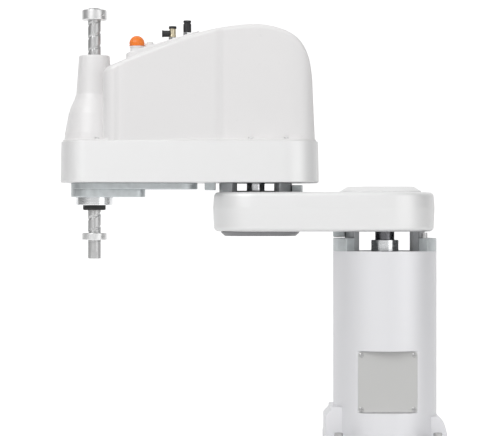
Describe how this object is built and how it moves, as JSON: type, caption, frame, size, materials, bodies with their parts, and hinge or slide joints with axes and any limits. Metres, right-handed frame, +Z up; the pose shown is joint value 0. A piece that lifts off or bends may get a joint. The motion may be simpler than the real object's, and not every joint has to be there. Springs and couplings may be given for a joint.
{
  "type": "scara robot",
  "caption": "SCARA robot on a round column: horizontal arms that swing about upright joints, and a hollow ball-screw spline shaft at the tip that lifts and turns.",
  "frame": {"origin": "joint 1's axis at the underside of the foot", "axes": "+Z up along joint 1's axis; the arms reach out along -X; the connector panel faces +Y"},
  "size_m": [0.595, 0.188, 0.673],
  "materials": {
    "column_paint": "light grey paint, satin",
    "arm_paint": "off-white paint, satin",
    "dark_cover": "dark grey paint, matte",
    "cover_plastic": "off-white moulded plastic, satin",
    "cast_metal": "blue-grey cast aluminium, machined",
    "machined_metal": "machined steel",
    "shaft_steel": "ground and polished",
    "collar_steel": "bright turned steel",
    "screw_steel": "zinc plated",
    "dark_metal": "black oxide",
    "pulley_aluminium": "clear anodised",
    "belt_rubber": "moulded",
    "seal_rubber": "moulded lip",
    "motor_black": "black paint",
    "panel_metal": "satin plate",
    "connector_black": "black moulded plastic",
    "fitting_brass": "nickel-washed brass",
    "lamp_orange": "translucent orange dome",
    "button_plastic": "pale moulded plastic"
  },
  "bodies": {
    "base": {"base_column": "column_paint", "foot_screws": "screw_steel", "service_cover": "column_paint", "connector_panel": "panel_metal", "column_panel_screws": "screw_steel", "power_connector": "connector_black", "signal_connector": "connector_black", "user_connector": "connector_black", "base_air_fittings": "fitting_brass", "joint1_reducer": "machined_metal", "joint1_bearing": "machined_metal", "joint1_motor": "motor_black", "column_rim_segments": "cast_metal", "joint1_stop_pins": "screw_steel"},
    "arm1": {"joint1_output_flange": "cast_metal", "joint1_hub_collar": "machined_metal", "joint1_cable_tube": "dark_metal", "joint1_stop_lug": "cast_metal", "arm1_casting": "arm_paint", "arm1_top_cover": "arm_paint", "arm1_bottom_cover": "dark_cover", "joint2_seal_plate": "dark_metal", "joint2_output_flange": "cast_metal", "joint2_cable_tube": "machined_metal", "joint2_stop_block": "cast_metal"},
    "arm2": {"arm2_casting": "arm_paint", "arm2_cover": "cover_plastic", "arm2_cover_screws": "screw_steel", "fitting_plate": "cover_plastic", "lamp_base": "cover_plastic", "lamp_lens": "lamp_orange", "brake_button_housing": "cover_plastic", "elbow_fitting": "fitting_brass", "elbow_outlet": "connector_black", "fitting_nuts": "machined_metal", "straight_fitting": "connector_black", "shaft_housing": "cast_metal", "shaft_housing_ring": "machined_metal", "shaft_seal": "seal_rubber", "spline_bearings": "machined_metal", "joint4_belt": "belt_rubber", "joint4_motor_bracket": "machined_metal", "joint4_motor": "motor_black", "screw_nut_bearing": "machined_metal", "joint3_belt": "belt_rubber", "drive_shelf": "machined_metal", "joint3_motor": "motor_black", "joint2_reducer": "machined_metal", "joint2_motor": "motor_black", "joint2_stop_lug": "cast_metal"},
    "spline_nut_rotor": {"spline_nut": "machined_metal", "spline_pulley": "pulley_aluminium"},
    "shaft": {"spline_shaft": "shaft_steel", "shaft_collars": "collar_steel", "collar_screws": "screw_steel"},
    "screw_nut_rotor": {"ball_screw_nut": "machined_metal", "screw_nut_pulley": "pulley_aluminium"},
    "motor3_rotor": {"joint3_motor_pulley": "pulley_aluminium"},
    "motor4_rotor": {"joint4_motor_pulley": "pulley_aluminium"},
    "brake_button": {"brake_release_button": "button_plastic"}
  },
  "joints": [
    {"name": "joint1", "type": "hinge", "parent": "base", "child": "arm1", "pos_m": [0, 0, 0.3], "axis": [0, 0, 1], "range_deg": [-130, 130]},
    {"name": "joint2", "type": "hinge", "parent": "arm1", "child": "arm2", "pos_m": [-0.2, 0, 0.4], "axis": [0, 0, 1], "range_deg": [-145, 145]},
    {"name": "joint4", "type": "hinge", "parent": "arm2", "child": "spline_nut_rotor", "pos_m": [-0.45, 0, 0.4], "axis": [0, 0, 1], "range_deg": [-360, 360]},
    {"name": "joint3", "type": "slide", "parent": "spline_nut_rotor", "child": "shaft", "axis": [0, 0, 1], "range_m": [-0.054, 0.034]},
    {"name": "screw_nut_spin", "type": "hinge", "parent": "arm2", "child": "screw_nut_rotor", "pos_m": [-0.45, 0, 0.46], "axis": [0, 0, 1], "range_deg": [-1080, 1080]},
    {"name": "motor3_spin", "type": "hinge", "parent": "arm2", "child": "motor3_rotor", "pos_m": [-0.384, 0.028, 0.46], "axis": [0, 0, 1], "range_deg": [-2160, 2160]},
    {"name": "motor4_spin", "type": "hinge", "parent": "arm2", "child": "motor4_rotor", "pos_m": [-0.348, -0.026, 0.42], "axis": [0, 0, 1], "range_deg": [-905, 905]},
    {"name": "brake_button_push", "type": "slide", "parent": "arm2", "child": "brake_button", "axis": [0, 0, -1], "range_m": [0, 0.002], "stiffness_N_per_m": 400, "springref_m": -0.0015}
  ],
  "couplings": [
    {"joint": "screw_nut_spin", "follows": "joint3", "rad_per_m": -314.16},
    {"joint": "motor3_spin", "follows": "joint3", "rad_per_m": -628.32},
    {"joint": "motor4_spin", "follows": "joint4", "ratio": 2.5}
  ]
}
